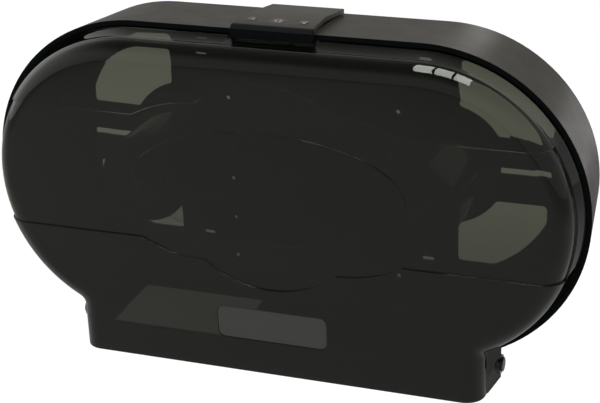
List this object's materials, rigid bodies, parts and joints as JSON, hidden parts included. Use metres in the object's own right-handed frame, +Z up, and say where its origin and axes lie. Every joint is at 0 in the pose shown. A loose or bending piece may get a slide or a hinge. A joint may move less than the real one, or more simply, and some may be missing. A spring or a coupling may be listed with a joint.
{
  "type": "twin jumbo toilet roll dispenser",
  "caption": "Wall-mounted dispenser for large toilet rolls side by side: opaque rear casing, hinged see-through cover with a top lock, turning roll hubs and sliding paper-exit shutter.",
  "frame": {"origin": "on the back face against the wall, midway between the casing's two round ends and 3.5 mm below their middle line", "axes": "+X to the right of someone facing the dispenser, +Y into the wall, +Z up; the room is towards -Y"},
  "size_m": [0.508, 0.118, 0.2946],
  "materials": {
    "casing_satin": "fine satin, dark grey-brown",
    "cover_smoke": "glossy smoke, see-through",
    "label_plate": "satin grey, blank",
    "hinge_black": "semi-gloss black",
    "clip_steel": "spring steel",
    "bracket_satin": "fine satin, dark grey-brown",
    "rivet_aluminium": "dull",
    "lock_chrome": "polished",
    "plug_brass": "nickel-worn brass",
    "nut_steel": "zinc plated",
    "cam_steel": "zinc plated, stamped",
    "screw_steel": "zinc plated",
    "spindle_plastic": "satin black",
    "hub_plastic": "satin black",
    "cap_plastic": "semi-gloss black",
    "shutter_plastic": "satin dark grey",
    "tear_steel": "bright stainless"
  },
  "bodies": {
    "casing": {"rear_casing": "casing_satin", "lock_bracket": "bracket_satin", "bracket_rivets": "rivet_aluminium", "lock_barrel": "lock_chrome", "lock_nut": "nut_steel", "hinge_pin_left": "hinge_black", "hinge_pin_right": "hinge_black", "hinge_clips": "clip_steel", "spindle_left": "spindle_plastic", "spindle_right": "spindle_plastic", "spindle_screws": "screw_steel", "spindle_cap_left": "cap_plastic", "spindle_cap_right": "cap_plastic", "cap_screws": "screw_steel", "tear_bar_left": "tear_steel", "tear_bar_right": "tear_steel", "tear_bar_screws": "screw_steel"},
    "cover": {"front_cover": "cover_smoke", "blank_label": "label_plate"},
    "lock": {"lock_plug": "plug_brass", "lock_cam": "cam_steel", "cam_screw": "screw_steel"},
    "hub_left": {"roll_hub_left": "hub_plastic"},
    "hub_right": {"roll_hub_right": "hub_plastic"},
    "slider": {"shutter": "shutter_plastic"}
  },
  "joints": [
    {"name": "cover_hinge", "type": "hinge", "parent": "casing", "child": "cover", "pos_m": [0, -0.084, -0.13], "axis": [1, 0, 0], "range_deg": [0, 95]},
    {"name": "lock_turn", "type": "hinge", "parent": "casing", "child": "lock", "pos_m": [0, -0.073, 0.13], "axis": [0, 0, 1], "range_deg": [0, 90]},
    {"name": "hub_left_spin", "type": "hinge", "parent": "casing", "child": "hub_left", "pos_m": [-0.1157, -0.05, 0.005], "axis": [0, 1, 0], "continuous": true},
    {"name": "hub_right_spin", "type": "hinge", "parent": "casing", "child": "hub_right", "pos_m": [0.1157, -0.05, 0.005], "axis": [0, 1, 0], "continuous": true},
    {"name": "shutter_slide", "type": "slide", "parent": "casing", "child": "slider", "axis": [-1, 0, 0], "range_m": [0, 0.12]}
  ]
}
